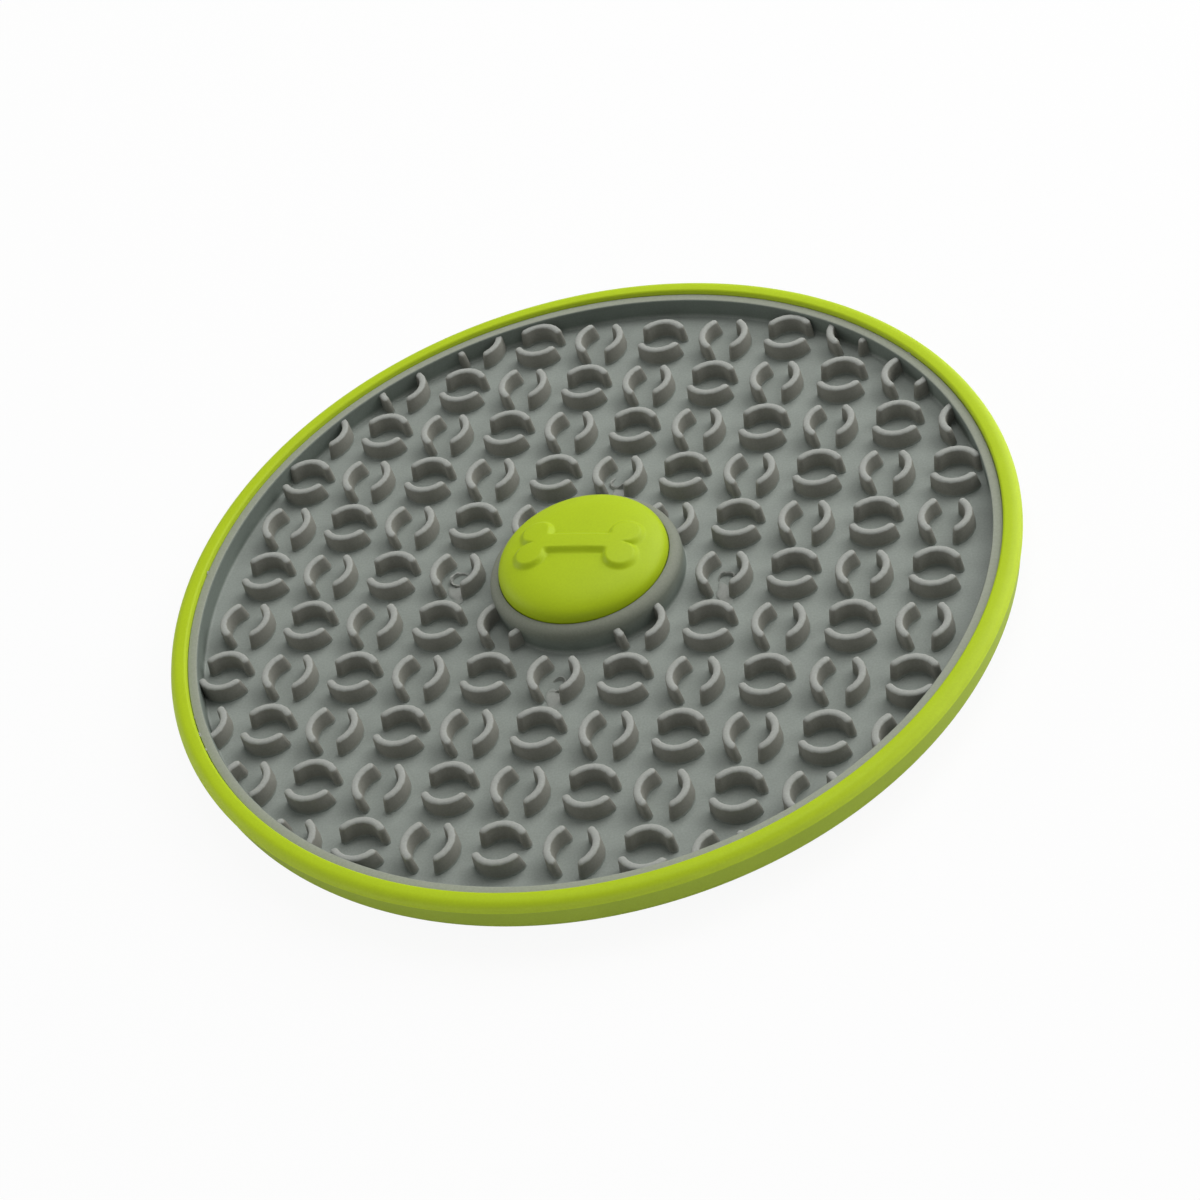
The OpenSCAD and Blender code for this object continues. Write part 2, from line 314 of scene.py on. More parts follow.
round_corner(tray, rib_in_r, tray_low.z, 0.3 * MM, steps=3)
round_corner(tray, rib_in_r + RIB_W, tray_low.z, 0.3 * MM, steps=3)
round_corner(tray, hub_in_r, tray_z, 0.4 * MM, steps=3)
round_corner(tray, hole_r, web_z, 0.2 * MM, steps=2)
turn()
print("The tray is turned, with", len(tray.data.polygons), "faces")

# %% Cut and join pieces
def apply_modifiers(piece):
    """Applies all of a piece's modifiers, in their order."""
    pick(piece)
    for modifier in list(piece.modifiers):
        bpy.ops.object.modifier_apply(modifier=modifier.name)


def clean(piece):
    """Clears what a boolean leaves: slivers, faces with many corners and faces back to back."""
    bpy.ops.object.mode_set(mode="EDIT")
    bpy.ops.mesh.select_mode(type="VERT")
    bpy.ops.mesh.select_all(action="SELECT")
    bpy.ops.mesh.dissolve_degenerate(threshold=MERGE_REACH)
    bpy.ops.mesh.select_all(action="DESELECT")
    bpy.ops.mesh.select_face_by_sides(number=4, type="GREATER")
    bpy.ops.mesh.quads_convert_to_tris()
    mesh = bmesh.from_edit_mesh(piece.data)
    by_corners = {}
    for face in mesh.faces:
        by_corners.setdefault(frozenset(face.verts), []).append(face)
    doubled = [face for faces in by_corners.values() if len(faces) > 1 for face in faces]
    bmesh.ops.delete(mesh, geom=doubled, context="FACES")
    bmesh.update_edit_mesh(piece.data)
    close_up()


def combine(piece, other, way):
    """Joins, cuts or intersects a piece with another one, which is then removed."""
    modifier = piece.modifiers.new(name=way.lower(), type="BOOLEAN")
    modifier.operation = way
    modifier.solver = "EXACT"
    modifier.object = other
    apply_modifiers(piece)
    bpy.data.objects.remove(other)
    clean(piece)


def join(name, pieces):
    """Makes one piece of several, with its place in its mesh."""
    pick(*pieces)
    bpy.ops.object.join()
    bpy.ops.object.transform_apply(location=True, rotation=True, scale=True)
    return name_piece(name)


# %% Add the straight ribs under the tray
RIB_COUNT = 12
RIB_EDGE_R = 0.25 * MM
# How deep a piece that stands on another one reaches into it.
ROOT = 0.3 * MM
rib_start = rib_in_r + RIB_W / 2
rib_length = rib_out_r - rib_start
ribs = []
for count in range(RIB_COUNT):
    deselect_all()
    rib_middle = (rib_start + rib_length / 2, 0, tray_low.z + (RIB_H + ROOT) / 2)
    rib_size = (rib_length, RIB_W, RIB_H + ROOT)
    bpy.ops.mesh.primitive_cube_add(size=1, location=rib_middle, scale=rib_size)
    rib = name_piece("tray_rib")
    bpy.ops.object.transform_apply(location=True, rotation=True, scale=True)
    bevel = rib.modifiers.new(name="soft_edges", type="BEVEL")
    bevel.width = RIB_EDGE_R
    bevel.segments = 2
    apply_modifiers(rib)
    rib.rotation_euler.z = (count + 0.5) * 2 * math.pi / RIB_COUNT
    ribs.append(rib)
combine(tray, join("tray_ribs", ribs), "UNION")
smooth(tray)
place_piece(tray, "base", "tray")

# %% [markdown]
# The pad is one soft moulding. Its lip lies just inside the rim, its floor is flat, and in the
# middle it climbs over the tray's tower as a collar with a round shoulder. It is turned from
# one section too, and the small marks that a mould leaves are added afterwards.

# %% Turn the pad
HUB_SLOPE = 0.2 * MM
HUB_SHOULDER_R = 2.0 * MM
LIP_EDGE_R = 0.4 * MM
WELL_FOOT_R = 0.4 * MM
shoulder_z = seam_z - HUB_SLOPE
pad_out_r = lip_r - part_gap
pad = draw_section("pad", [
    (tower_r, tray_top), (pad_r, tray_top), (pad_r, rim_z), (pad_out_r, rim_z), (pad_out_r, lip_z),
    (well_r, lip_z), (well_r, well_z), (hub_r, well_z), (hub_r, shoulder_z), (hub_in_r, seam_z),
    (hub_in_r, collar_z), (tower_r, collar_z)])
round_corner(pad, pad_out_r, lip_z, 0.2 * MM, steps=3)
round_corner(pad, well_r, lip_z, LIP_EDGE_R)
round_corner(pad, well_r, well_z, WELL_FOOT_R)
round_corner(pad, hub_r, well_z, 0.3 * MM, steps=3)
round_corner(pad, hub_r, shoulder_z, HUB_SHOULDER_R, steps=12)
round_corner(pad, hub_in_r, seam_z, 0.15 * MM, steps=3)
turn()
smooth(pad)

# %% [markdown]
# Four gate scars stand round the hub, where rubber was let into the mould. Each is a torn curl
# that winds out of the floor and back into it, in front of which the rubber has run out into a
# long low tongue. A small section is spun part of a turn, and its points are then drawn into a
# spiral whose height swells, sinks and frays with noise. The tongue is an icosphere pressed flat.

# %% Spin a section through part of a turn
def turn_part(steps, angle):
    """Spins the drawn outline through part of a turn and closes both ends."""
    spin(steps, angle)
    bpy.ops.mesh.select_all(action="SELECT")
    bpy.ops.mesh.fill_holes(sides=0)
    close_up()


# %% Tear the gate scars
PITCH = 14.6 * MM
SCAR_R = 2.1 * MM
SCAR_W = 0.8 * MM
SCAR_H = 0.95 * MM
SCAR_SWEEP = math.radians(290)
SCAR_STEPS = 40
SCAR_RINGS = 2
SCAR_TURNS = (200, 60, 330, 150)
TONGUE_HALF_W = 1.6 * MM
TONGUE_HALF_L = 3.3 * MM
TONGUE_H = 0.34 * MM
TONGUE_SPOT = Vector((0.3 * MM, -3.9 * MM, 0))
TONGUE_TURN = math.radians(25)


def scar_centre(count):
    """The scars stand in four cells of the grid, a quarter turn apart."""
    angle = count * math.pi / 2
    return Vector((SCAR_RINGS * PITCH * math.cos(angle), SCAR_RINGS * PITCH * math.sin(angle), 0))


def gate_scar(count):
    """A curl that winds outwards; each scar reads the noise at a spot of its own."""
    half_up = well_z + SCAR_H / 2
    top = well_z + SCAR_H
    scar = draw_section("gate_scar", [
        (SCAR_R - SCAR_W, well_z - ROOT), (SCAR_R, well_z - ROOT), (SCAR_R - SCAR_W / 4, half_up),
        (SCAR_R - SCAR_W / 3, top), (SCAR_R - 2 * SCAR_W / 3, top), (SCAR_R - 3 * SCAR_W / 4, half_up)])
    turn_part(SCAR_STEPS, SCAR_SWEEP)
    for point in scar.data.vertices:
        share = (-math.atan2(point.co.y, point.co.x)) % (2 * math.pi) / SCAR_SWEEP
        # A share well past the end belongs to a point just before the start.
        share = share if share <= 1.05 else 0
        place = point.co / MM + Vector((20 * count, 0, 0))
        winding = 0.75 + 0.65 * share + 0.3 * noise.noise(place * 0.5)
        point.co.x *= winding
        point.co.y *= winding
        above = point.co.z - well_z
        if above > 0:
            swell = math.sin(math.pi * min(share, 1)) ** 0.7
            fray = 1.05 + 0.8 * noise.noise(place * 0.8 + Vector((0, 9, 0)))
            point.co.z = well_z + above * (swell * fray - 0.1)
    scar.rotation_euler.z = math.radians(SCAR_TURNS[count])
    scar.location = scar_centre(count)
    return scar


def scar_tongue(count):
    """A long low spill of rubber in front of the scar."""
    deselect_all()
    bpy.ops.mesh.primitive_ico_sphere_add(subdivisions=3, radius=TONGUE_HALF_W)
    tongue = name_piece("scar_tongue")
    for point in tongue.data.vertices:
        point.co.y *= TONGUE_HALF_L / TONGUE_HALF_W
        point.co *= 1 + 0.45 * noise.noise(point.co / MM * 0.5 + Vector((count * 7, 0, 3)))
        point.co.z *= TONGUE_H / TONGUE_HALF_W
    tongue.rotation_euler.z = TONGUE_TURN
    tongue.location = scar_centre(count) + TONGUE_SPOT + Vector((0, 0, well_z))
    return tongue


scars = [gate_scar(count) for count in range(4)] + [scar_tongue(count) for count in range(4)]
print("A scar has", len(scars[0].data.polygons), "faces")

# %% [markdown]
# Where the lip was trimmed, a few crumbs of flash are left on its outer edge. A crumb is an
# icosphere that is pressed flat and made uneven, and the three spots take one, three and one.

# %% Leave crumbs of flash on the lip
# Where each crumb lies round the mat in degrees, and its radius in millimetres.
FLASH_SPOTS = ((-179.0, 0.5), (-149.8, 0.45), (-146.3, 0.6), (-143.1, 0.4), (47.3, 0.45))
# How high a scar or crumb stands when it takes the tips' full colour, partly wear and partly painted
# highlight.
TORN_AND_LIT_RISE = 0.3 * MM


def flash_crumb(azimuth, radius):
    """An uneven flat crumb that sits on the lip's outer edge."""
    deselect_all()
    bpy.ops.mesh.primitive_ico_sphere_add(subdivisions=2, radius=radius * MM)
    crumb = name_piece("flash_crumb")
    for point in crumb.data.vertices:
        place = point.co / MM * 2 + Vector((azimuth, 0, 0))
        point.co *= 1 + 0.9 * noise.noise(place)
        point.co.x *= 0.45
        point.co.z *= 0.5
    crumb.location = (pad_out_r - 0.05 * MM, 0, lip_z - 0.03 * MM)
    pick(crumb)
    bpy.ops.object.transform_apply(location=True, rotation=True, scale=True)
    crumb.rotation_euler.z = math.radians(azimuth)
    return crumb


def mark_torn(piece):
    """Writes how high each point stands over the floor, for the rubber's colour: the higher, the more
    of the tips' worn colour and painted highlight it takes.
    """
    torn = piece.data.attributes.new("torn", "FLOAT", "POINT")
    for point in piece.data.vertices:
        above = (piece.matrix_basis @ point.co).z - well_z
        torn.data[point.index].value = min(max(above / TORN_AND_LIT_RISE, 0), 1)


crumbs = [flash_crumb(*spot) for spot in FLASH_SPOTS]
for piece in (*scars, *crumbs):
    mark_torn(piece)
pad = join("pad", [pad, *scars, *crumbs])
smooth(pad)
place_piece(pad, "base", "lick_pad")

# %% [markdown]
# The ridges are short curved walls in pairs, like a split ring, turned a quarter from one cell
# of the grid to the next. One ridge is modelled with care and few faces, because it is
# copied some two hundred times: its section is spun through 124 degrees and its ends are
# closed. Its points are then moved, so that the last two rings of them on each side draw in to
# a round end. The end slants, as it does in a mould, and sinks a little, and the foot is wider
# than the top. Each ring's shape is its share of the half angle and its share of the width.

# %% Model one ridge
RIDGE_R = 5.1 * MM
RIDGE_REACH = 4.85 * MM
RIDGE_HALF_ANGLE = math.radians(62)
RIDGE_FOOT_W = 1.8 * MM
RIDGE_TOP_W = 1.55 * MM
RIDGE_EDGE_R = 0.48 * MM
END_DRAFT = 0.06
END_DROP = 1.0 * MM
FOOT_FLARE = 0.12
RING_SHAPES = ((0, 1), (0.3, 1), (0.6, 1), (0.88, 1), (0.98, 0.78), (1.03, 0.36))

ridge = draw_section("ridge", [
    (RIDGE_R - RIDGE_FOOT_W / 2, well_z - ROOT), (RIDGE_R + RIDGE_FOOT_W / 2, well_z - ROOT),
    (RIDGE_R + RIDGE_TOP_W / 2, ridge_top), (RIDGE_R - RIDGE_TOP_W / 2, ridge_top)])
round_corner(ridge, RIDGE_R + RIDGE_TOP_W / 2, ridge_top, RIDGE_EDGE_R, steps=2)
round_corner(ridge, RIDGE_R - RIDGE_TOP_W / 2, ridge_top, RIDGE_EDGE_R, steps=2)
turn_part(2 * (len(RING_SHAPES) - 1), 2 * RIDGE_HALF_ANGLE)
print("The ridge is spun, with", len(ridge.data.polygons), "faces")

# %% Turn the ridge's middle to +X, and round its ends
middle = sum((point.co for point in ridge.data.vertices), Vector()) / len(ridge.data.vertices)
ridge.rotation_euler.z = -math.atan2(middle.y, middle.x)
bpy.ops.object.transform_apply(location=True, rotation=True, scale=True)
for point in ridge.data.vertices:
    angle = math.atan2(point.co.y, point.co.x)
    ring = round((len(RING_SHAPES) - 1) * abs(angle) / RIDGE_HALF_ANGLE)
    angle_share, width_share = RING_SHAPES[ring]
    height_share = min(max((point.co.z - well_z) / (ridge_top - well_z), 0), 1)
    slant = 1 + END_DRAFT * (1 - 2 * height_share)
    angle = math.copysign(angle_share * RIDGE_HALF_ANGLE, angle) * slant
    off_middle = math.hypot(point.co.x, point.co.y) - RIDGE_R
    radius = RIDGE_R + off_middle * width_share * (1 + FOOT_FLARE * (1 - height_share))
    point.co.x, point.co.y = radius * math.cos(angle), radius * math.sin(angle)
    point.co.z -= END_DROP * (1 - width_share) * height_share
ridge.location.x = RIDGE_REACH - RIDGE_R
bpy.ops.object.transform_apply(location=True, rotation=True, scale=True)
facts = bmesh.new()
facts.from_mesh(ridge.data)
closed = all(edge.is_manifold for edge in facts.edges)
print("A ridge has", len(facts.faces), "faces; closed:", closed)
facts.free()

# %% [markdown]
# The cells lie on a square grid. A ridge that would run into the pad's wall or the collar is
# cut there, and one that would leave only a crumb is left out, so each place is first tested
# with points along the ridge's middle line.

# %% Find out where the ridges stand
RIDGE_STUB = 1.4 * MM
HALF_TESTS = 31


def ridge_radii(i, j, angle):
    """How far the points of a ridge's middle line lie from the middle of the mat."""
    arc = [RIDGE_HALF_ANGLE * test / HALF_TESTS for test in range(-HALF_TESTS, HALF_TESTS + 1)]
    shift = RIDGE_REACH - RIDGE_R
    return [math.hypot(i * PITCH + shift * math.cos(angle) + RIDGE_R * math.cos(angle + turned),
                       j * PITCH + shift * math.sin(angle) + RIDGE_R * math.sin(angle + turned))
            for turned in arc]


clear_of_hub = hub_r + RIDGE_FOOT_W
clear_of_wall = well_r - RIDGE_FOOT_W - WELL_FOOT_R
rows = math.ceil(well_r / PITCH)
whole_places = []
cut_places = []
for i in range(-rows, rows + 1):
    for j in range(-rows, rows + 1):
        for side in (0, 1):
            angle = math.pi * side + (0 if (i + j) % 2 == 0 else math.pi / 2)
            radii = ridge_radii(i, j, angle)
            if min(radii) >= well_r - RIDGE_STUB or max(radii) <= clear_of_hub:
                continue
            fits = max(radii) < clear_of_wall and min(radii) > clear_of_hub
            (whole_places if fits else cut_places).append((i, j, angle))
print(len(whole_places), "ridges are whole and", len(cut_places), "are cut")

# %% Copy the ridge to its places
def copy_ridge(i, j, angle):
    """A copy of the ridge with its own mesh, in one cell of the grid."""
    copy = ridge.copy()
    copy.data = ridge.data.copy()
    bpy.context.collection.objects.link(copy)
    copy.rotation_euler.z = angle
    copy.location = (i * PITCH, j * PITCH, 0)
    return copy


ridges = join("ridges", [copy_ridge(*place) for place in whole_places])
cut_ridges = join("cut_ridges", [copy_ridge(*place) for place in cut_places])
bpy.data.objects.remove(ridge)
print("The whole ridges have", len(ridges.data.polygons), "faces")

# %% Cut the ridges that meet the wall or the collar
BITE = 0.1 * MM
draw_section("well_space", [
    (hub_r - BITE, well_z - 2 * ROOT), (well_r + BITE, well_z - 2 * ROOT),
    (well_r + BITE, lip_z), (hub_r - BITE, lip_z)])
turn()
combine(cut_ridges, bpy.context.object, "INTERSECT")
ridges = join("ridges", [ridges, cut_ridges])
smooth(ridges, angle=50)
place_piece(ridges, "base", "lick_ridges")

# %% [markdown]
# The press cap is a thin dome with a skirt, and its stem slides in the tray's web. The curve of
# the dome is squarer than an ellipse, as on a worn pebble. Its outline is drawn point by point
# from the top down to the skirt and back up inside, so one spin makes the whole cap. The dome
# reaches a little over the gap round the skirt. The points of the top lie close together,
# because the bone is raised from them next.

# %% Turn the press cap
DOME_H = 5.0 * MM
DOME_EXPONENT = 2.6
CAP_WALL = 1.6 * MM
SKIRT_H = 0.85 * MM
PEG_HOLE_R = 2.45 * MM
PEG_HOLE_L = 5.1 * MM
BRIM = 0.2 * MM
skirt_z = seam_z - SKIRT_H
inner_r = cap_r - CAP_WALL
inner_h = DOME_H - CAP_WALL


def dome_point(radius, height, share):
    """A point of a dome's outline, from its top at share 0 to its edge at share 1."""
    angle = math.radians(90) * (1 - share)
    power = 2 / DOME_EXPONENT
    return radius * max(math.cos(angle), 0) ** power, seam_z + height * math.sin(angle) ** power


OUTER_POINTS = 130
INNER_POINTS = 24
outside = [dome_point(cap_r + BRIM, DOME_H, count / OUTER_POINTS) for count in range(OUTER_POINTS + 1)]
outside[0] = (0, seam_z + DOME_H)
inside = [dome_point(inner_r, inner_h, count / INNER_POINTS) for count in range(INNER_POINTS, 0, -1)]
inside = [point for point in inside if point[0] > stem_r + 0.2 * MM]
cap = draw_line("press_cap_body", [
    *outside, (cap_r, skirt_z + 0.2 * MM), (cap_r - 0.2 * MM, skirt_z), (inner_r, skirt_z), *inside,
    (stem_r, inside[-1][1]), (stem_r, boss_top), (PEG_HOLE_R, boss_top),
    (PEG_HOLE_R, boss_top + PEG_HOLE_L), (0, boss_top + PEG_HOLE_L)])
turn(steps=360)
print("The cap has", len(cap.data.polygons), "faces")

# %% [markdown]
# The bone stands about a millimetre over the dome and has soft edges. A displace modifier
# lifts the points inside its outline, and a vertex group says how far each one goes: fully
# inside the outline, not at all outside, and with a soft step between them.

# %% Raise the bone on the cap
BONE_RISE = 1.0 * MM
BONE_STEP = 1.4 * MM
KNOB_X = 9.8 * MM
KNOB_Y = 3.1 * MM
KNOB_R = 3.35 * MM
SHAFT_HALF_W = 2.3 * MM


def soft_step(share):
    """Eases a share in from 0 and out to 1."""
    share = min(max(share, 0), 1)
    return share * share * (3 - 2 * share)


def bone_share(x, y):
    """How far the bone rises at x and y: the knobs and the shaft melt into one another."""
    x, y = abs(x), abs(y)
    knob = math.hypot(x - KNOB_X, y - KNOB_Y) - KNOB_R
    over_x, over_y = x - KNOB_X, y - SHAFT_HALF_W
    shaft = math.hypot(max(over_x, 0), max(over_y, 0)) + min(max(over_x, over_y), 0)
    return 1 - (1 - soft_step(0.5 - knob / BONE_STEP)) * (1 - soft_step(0.5 - shaft / BONE_STEP))


bone_group = cap.vertex_groups.new(name="bone")
for point in cap.data.vertices:
    dome_share = (point.co.z - seam_z) / DOME_H
    outer = math.hypot(point.co.x, point.co.y) > inner_r or point.co.z > seam_z + inner_h + 0.1 * MM
    if dome_share > 0 and outer:
        weight = bone_share(point.co.x, point.co.y)
        if weight > 0:
            bone_group.add([point.index], weight * dome_share, "REPLACE")
raised = cap.modifiers.new(name="bone", type="DISPLACE")
raised.direction = "Z"
raised.mid_level = 0
raised.strength = BONE_RISE
raised.vertex_group = "bone"
apply_modifiers(cap)
smooth(cap, angle=50)
place_piece(cap, "cap", "press_cap")
print("The cap's top is at", round(max(point.co.z for point in cap.data.vertices) / MM, 2), "mm")

# %% [markdown]
# The suction cup hangs under the hub on a hard stem, which the press cap pushes. The cup is a
# thin soft bell with a thick boss, turned from an outline that starts and ends on the axis. A
# rounded tab on its lip lets the air in when the mat is lifted.

# %% Turn the suction cup
CUP_LIP_T = 0.6 * MM
CUP_WALL = 1.3 * MM
CUP_HOLLOW_H = 3.4 * MM
CUP_GAP = 0.3 * MM
HOLLOW_EDGE_SHARE = 0.85
BOSS_R = 10.0 * MM
flange_r = stem_high.x
flange_z = stem_low.z
cup_shoulder_r = hub_in_r - part_gap
cup_shoulder_z = tray_z - CUP_GAP
hollow_edge = (BOSS_R, CUP_HOLLOW_H * HOLLOW_EDGE_SHARE)
inner_shoulder = (cup_shoulder_r, cup_shoulder_z - CUP_WALL)
boss_foot = (BOSS_R, CUP_HOLLOW_H + CUP_WALL)

cup = draw_line("suction_cup_body", [
    (0, CUP_HOLLOW_H), hollow_edge, inner_shoulder, (cup_r - CUP_LIP_T, 0), (cup_r, 0),
    (cup_r, CUP_LIP_T), (cup_shoulder_r, cup_shoulder_z), boss_foot, (BOSS_R, boss_top),
    (flange_r, boss_top), (flange_r, flange_z), (0, flange_z)])
round_corner(cup, *hollow_edge, 3 * MM, steps=5)
round_corner(cup, *inner_shoulder, 3 * MM, steps=5)
round_corner(cup, cup_r, 0, 0.2 * MM, steps=2)
round_corner(cup, cup_r, CUP_LIP_T, 0.25 * MM, steps=3)
round_corner(cup, cup_shoulder_r, cup_shoulder_z, 2 * MM, steps=5)
round_corner(cup, *boss_foot, 0.8 * MM, steps=4)
round_corner(cup, BOSS_R, boss_top, 0.4 * MM, steps=3)
turn(steps=192)
print("The cup is turned, with", len(cup.data.polygons), "faces")

# %% Shape the pull tab and its finger ribs
TAB_W = 10.0 * MM
TAB_T = 0.9 * MM
TAB_EDGE_R = 0.25 * MM
TAB_END = cup_high.x
TAB_ROOT = cup_r - ROOT
TAB_RIB_W = 0.8 * MM
TAB_RIB_H = 0.25 * MM
TAB_RIB_EDGE_R = 0.15 * MM
# Each rib's distance from the tab's end, and half its length.
TAB_RIBS = ((2.2 * MM, 2.4 * MM), (3.6 * MM, 2.9 * MM), (5.0 * MM, 3.4 * MM))
tab_top = part_gap + TAB_T


def soft_bar(name, low, high, edge):
    """A bar between two corners, with its edges rounded."""
    deselect_all()
    low, high = Vector(low), Vector(high)
    bpy.ops.mesh.primitive_cube_add(size=1, location=(low + high) / 2, scale=high - low)
    bar = name_piece(name)
    bpy.ops.object.transform_apply(location=True, rotation=True, scale=True)
    soft_edges = bar.modifiers.new(name="soft_edges", type="BEVEL")
    soft_edges.width = edge
    soft_edges.segments = 3
    return bar


tab = soft_bar("pull_tab", (TAB_ROOT, -TAB_W / 2, part_gap), (TAB_END, TAB_W / 2, tab_top), TAB_EDGE_R)
bpy.ops.object.mode_set(mode="EDIT")
bpy.ops.mesh.select_mode(type="EDGE")
bpy.ops.mesh.select_all(action="DESELECT")
mesh = bmesh.from_edit_mesh(tab.data)
for edge in mesh.edges:
    edge.select_set(all(point.co.x > TAB_END - part_gap for point in edge.verts)
                    and edge.calc_length() < TAB_W / 2)
bmesh.update_edit_mesh(tab.data)
bpy.ops.mesh.bevel(offset=TAB_W / 2 - part_gap, segments=10, affect="EDGES")
bpy.ops.object.mode_set(mode="OBJECT")
tab_pieces = [tab]
for from_end, half_length in TAB_RIBS:
    rib_x = TAB_END - from_end
    low = (rib_x - TAB_RIB_W / 2, -half_length, tab_top - ROOT)
    high = (rib_x + TAB_RIB_W / 2, half_length, tab_top + TAB_RIB_H)
    tab_pieces.append(soft_bar("tab_rib", low, high, TAB_RIB_EDGE_R))
for piece in tab_pieces:
    apply_modifiers(piece)
combine(cup, join("pull_tab", tab_pieces), "UNION")
smooth(cup)

# %% [markdown]
# The cup's lip stays on the surface and its boss is pressed, so it flattens as the cap goes down.
# Here the cup's CAD part is hidden and the cup is baked in place as it stands at rest, and the
# press's travel gives how high the boss is when it is pressed.

# %% Bake the cup in place, and read how far the cap travels
press_joint = frame["joints"][0]
travel = press_joint["range_m"][1]
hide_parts("suction_cup")
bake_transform(cup)
print("Pressed, the cup is", round((boss_top - travel) / MM, 2), "mm high")

# %% [markdown]
# The mat stands on a ring of the pad's own rubber, which sits in the groove under the tray. It
# has three fine grooves in its sole, so that it grips a tiled floor.

# %% Turn the grip ring
grip_in_r = grip_out_r - GRIP_W
GRIP_EDGE_R = 0.8 * MM
GROOVE_W = 0.5 * MM
GROOVE_H = 0.35 * MM
sole = []
for share in (0.25, 0.5, 0.75):
    groove_r = grip_in_r + share * GRIP_W
    sole += [(groove_r - GROOVE_W / 2, 0), (groove_r - GROOVE_W / 4, GROOVE_H),
             (groove_r + GROOVE_W / 4, GROOVE_H), (groove_r + GROOVE_W / 2, 0)]
grip = draw_section("grip_ring_body", [
    (grip_in_r, 0), *sole, (grip_out_r, 0), (grip_out_r, grip_high.z), (grip_in_r, grip_high.z)])
round_corner(grip, grip_in_r, 0, GRIP_EDGE_R)
round_corner(grip, grip_out_r, 0, GRIP_EDGE_R)
turn(steps=240)
smooth(grip)
place_piece(grip, "base", "grip_ring")

# %% [markdown]
# Now the finishes. A small helper starts a material and returns its nodes, so that each
# finish below reads as a short list of what its surface has. All patterns use Object
# coordinates, in metres, so a grain has the same size on every piece.

# %% Helpers for the materials
def start_material(name):
    """A new material, with its nodes, links, shader and the place of a point."""
    material = bpy.data.materials.new(name)
    material.use_nodes = True
    nodes, links = material.node_tree.nodes, material.node_tree.links
    shader = nodes["Principled BSDF"]
    place = nodes.new("ShaderNodeTexCoord").outputs["Object"]
    return material, nodes, links, shader, place


def add_noise(nodes, links, place, size, detail=2.0):
    """Noise with spots of about this size in metres; its value lies round a half."""
    pattern = nodes.new("ShaderNodeTexNoise")
    pattern.inputs["Scale"].default_value = 1 / size
    pattern.inputs["Detail"].default_value = detail
    links.new(place, pattern.inputs["Vector"])
    return pattern.outputs["Fac"]


def add_range(nodes, links, value, low, high, to_low, to_high, way="LINEAR"):
    """Maps a value from one range to another."""
    mapped = nodes.new("ShaderNodeMapRange")
    mapped.interpolation_type = way
    ends = {"From Min": low, "From Max": high, "To Min": to_low, "To Max": to_high}
    for socket, number in ends.items():
        mapped.inputs[socket].default_value = number
    links.new(value, mapped.inputs["Value"])
    return mapped.outputs["Result"]


def add_step(nodes, links, value, start, end):
    """Rises softly from 0 at one value to 1 at another."""
    return add_range(nodes, links, value, start, end, 0, 1, way="SMOOTHSTEP")


def add_mix(nodes, links, share, first, second):
    """Mixes two colours, each given as a colour or as a socket."""
    mix = nodes.new("ShaderNodeMix")
    mix.data_type = "RGBA"
    for socket, colour in ((mix.inputs["A"], first), (mix.inputs["B"], second)):
        if isinstance(colour, tuple):
            socket.default_value = (*colour, 1)
        else:
            links.new(colour, socket)
    links.new(share, mix.inputs["Factor"])
    return mix.outputs["Result"]


def add_math(nodes, links, operation, first, second):
    """Combines a socket with another one or with a number."""
    made = nodes.new("ShaderNodeMath")
    made.operation = operation
    for socket, value in zip(made.inputs, (first, second)):
        if isinstance(value, (int, float)):
            socket.default_value = value
        else:
            links.new(value, socket)
    return made.outputs["Value"]


def add_parts(nodes, links, place):
    """Splits the place of a point into its X, Y and Z."""
    parts = nodes.new("ShaderNodeSeparateXYZ")
    links.new(place, parts.inputs["Vector"])
    return parts


def add_radius(nodes, links, parts):
    """The distance from the mat's axis."""
    across = add_math(nodes, links, "POWER", parts.outputs["X"], 2)
    along = add_math(nodes, links, "POWER", parts.outputs["Y"], 2)
    return add_math(nodes, links, "SQRT", add_math(nodes, links, "ADD", across, along), 0)


def add_bump(nodes, links, shader, height, depth, strength=1.0):
    """Bends the surface by a height from 0 to 1, depth metres deep."""
    bump = nodes.new("ShaderNodeBump")
    bump.inputs["Strength"].default_value = strength
    bump.inputs["Distance"].default_value = depth
    links.new(height, bump.inputs["Height"])
    links.new(bump.outputs["Normal"], shader.inputs["Normal"])


def paint(material, *pieces):
    """Gives each piece this material and no other."""
    for piece in pieces:
        piece.data.materials.clear()
        piece.data.materials.append(material)


# %% [markdown]
# The green plastic is a matte moulding with a fine spark-eroded grain and faint blotches, and
# each of the three green mouldings has its own shade. The rim's shade is lighter than the tray's,
# which paints light on the upper tier and shade on the lower one. Round the edge it also has
# faint circular lines, left by the turned mould. They follow the distance from the mat's axis and
# the height, so one noise over these two values draws them on the top and the sides. Down the
# rim's side the green is paler and brighter than on the flat top, and the tray is paler and
# bluer all over: a painted reflection of the pale table on the sides.

# %% Mix the green plastic
LIME = (0.420, 0.558, 0.007)
# Painted reflection of the pale table: the rim's side turns paler and brighter, and the tray paler and
# bluer.
RIM_SIDE_PAINTED_SHEEN = (0.560, 0.722, 0.042)
TRAY_PAINTED_SHEEN = (0.430, 0.558, 0.055)
GREEN_GRAIN = 0.03


def add_blotches(nodes, links, place, colour):
    """A colour with wide soft spots that are a little darker."""
    spots = add_noise(nodes, links, place, 9 * MM, detail=3)
    return add_mix(nodes, links, spots, tuple(0.91 * part for part in colour), colour)


